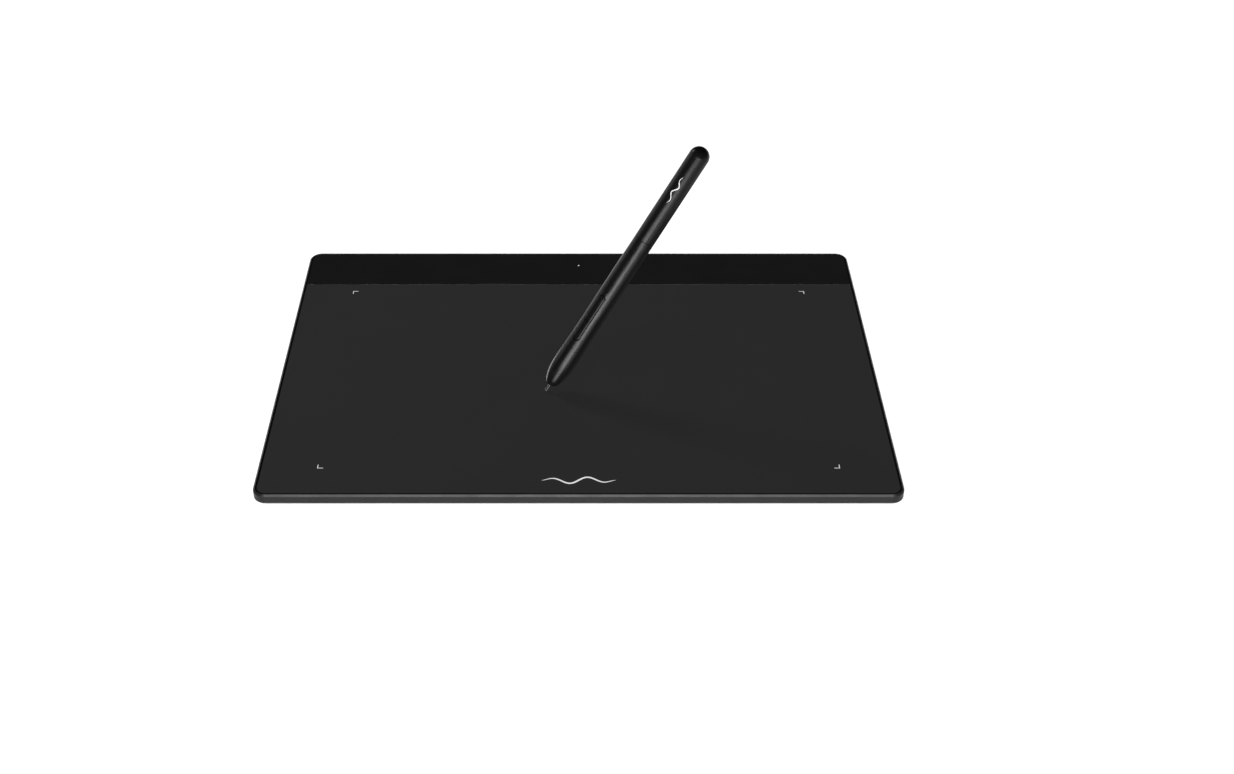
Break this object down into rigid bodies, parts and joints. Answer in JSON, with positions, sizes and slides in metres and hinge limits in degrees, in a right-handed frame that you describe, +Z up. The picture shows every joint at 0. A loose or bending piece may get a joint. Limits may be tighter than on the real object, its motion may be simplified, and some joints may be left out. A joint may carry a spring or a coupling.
{
  "type": "pen drawing tablet",
  "caption": "Slim black pen tablet with a textured drawing sheet, corner marks and a glossy status strip, and a two-key stylus standing on its nib.",
  "frame": {"origin": "centre of the tablet in plan, on the desk surface under its feet", "axes": "+X to the right along the long side, +Y to the back edge with the status strip, +Z up out of the drawing sheet"},
  "size_m": [0.312, 0.2214, 0.1326],
  "materials": {
    "cover_plastic": "fine moulded texture, satin",
    "top_plastic": "matt",
    "drawing_film": "finely textured matt film",
    "strip_film": "gloss",
    "lens": "clear light guide",
    "tape": "adhesive film",
    "circuit_board": "solder mask",
    "shield_steel": "rolled",
    "foam": "soft foam",
    "chip_resin": "moulded resin",
    "metal_can": "satin",
    "capacitor_body": "ceramic",
    "led_body": "diffuse",
    "connector_plastic": "natural nylon",
    "ribbon_film": "polyimide film",
    "port_steel": "satin",
    "port_resin": "moulded resin",
    "contact_gold": "gold flash",
    "rubber_foot": "matt",
    "black_screw": "black oxide",
    "plain_screw": "zinc plated",
    "label_film": "blank grey film",
    "stylus_plastic": "satin soft-touch",
    "inner_plastic": "moulded",
    "switch_body": "moulded",
    "ferrite": "sintered",
    "coil_wire": "enamelled copper winding",
    "silicone": "soft",
    "nib_plastic": "acetal",
    "key_plastic": "semi-gloss",
    "plunger_plastic": "moulded",
    "print_ink": "light grey screen print"
  },
  "bodies": {
    "tablet": {"bottom_cover": "cover_plastic", "top_cover": "top_plastic", "drawing_surface": "drawing_film", "status_strip": "strip_film", "indicator_lens": "lens", "board_tape": "tape", "sensor_board": "circuit_board", "shield_plate": "shield_steel", "foam_pads": "foam", "control_board": "circuit_board", "controller_chip": "chip_resin", "driver_chips": "chip_resin", "crystal": "metal_can", "capacitors": "capacitor_body", "status_led": "led_body", "usb_shell": "port_steel", "usb_tongue": "port_resin", "usb_contacts": "contact_gold", "ribbon_connectors": "connector_plastic", "ribbon_cables": "ribbon_film", "rubber_feet": "rubber_foot", "cover_screws": "black_screw", "board_screws": "plain_screw", "rating_label": "label_film"},
    "stylus": {"pen_barrel_front": "stylus_plastic", "pen_barrel_rear": "stylus_plastic", "pen_chassis": "inner_plastic", "pen_board": "circuit_board", "pen_capacitors": "capacitor_body", "switch_housings": "switch_body", "ferrite_core": "ferrite", "antenna_coil": "coil_wire", "pressure_sensor": "metal_can", "pressure_pad": "silicone"},
    "nib": {"nib": "nib_plastic", "nib_holder": "switch_body"},
    "lower_key": {"side_button_lower": "key_plastic", "switch_plunger_lower": "plunger_plastic"},
    "upper_key": {"side_button_upper": "key_plastic", "switch_plunger_upper": "plunger_plastic"}
  },
  "joints": [
    {"name": "pen_lift", "type": "slide", "parent": "tablet", "child": "stylus", "axis": [0, 0, 1], "range_m": [0, 0.1]},
    {"name": "nib_press", "type": "slide", "parent": "stylus", "child": "nib", "axis": [0.5246, 0.2173, 0.8231], "range_m": [0, 0.0005], "stiffness_N_per_m": 4000},
    {"name": "lower_key_press", "type": "slide", "parent": "stylus", "child": "lower_key", "axis": [0.4673, 0.7347, -0.4918], "range_m": [0, 0.00035], "stiffness_N_per_m": 3000},
    {"name": "upper_key_press", "type": "slide", "parent": "stylus", "child": "upper_key", "axis": [0.4673, 0.7347, -0.4918], "range_m": [0, 0.00035], "stiffness_N_per_m": 3000}
  ]
}
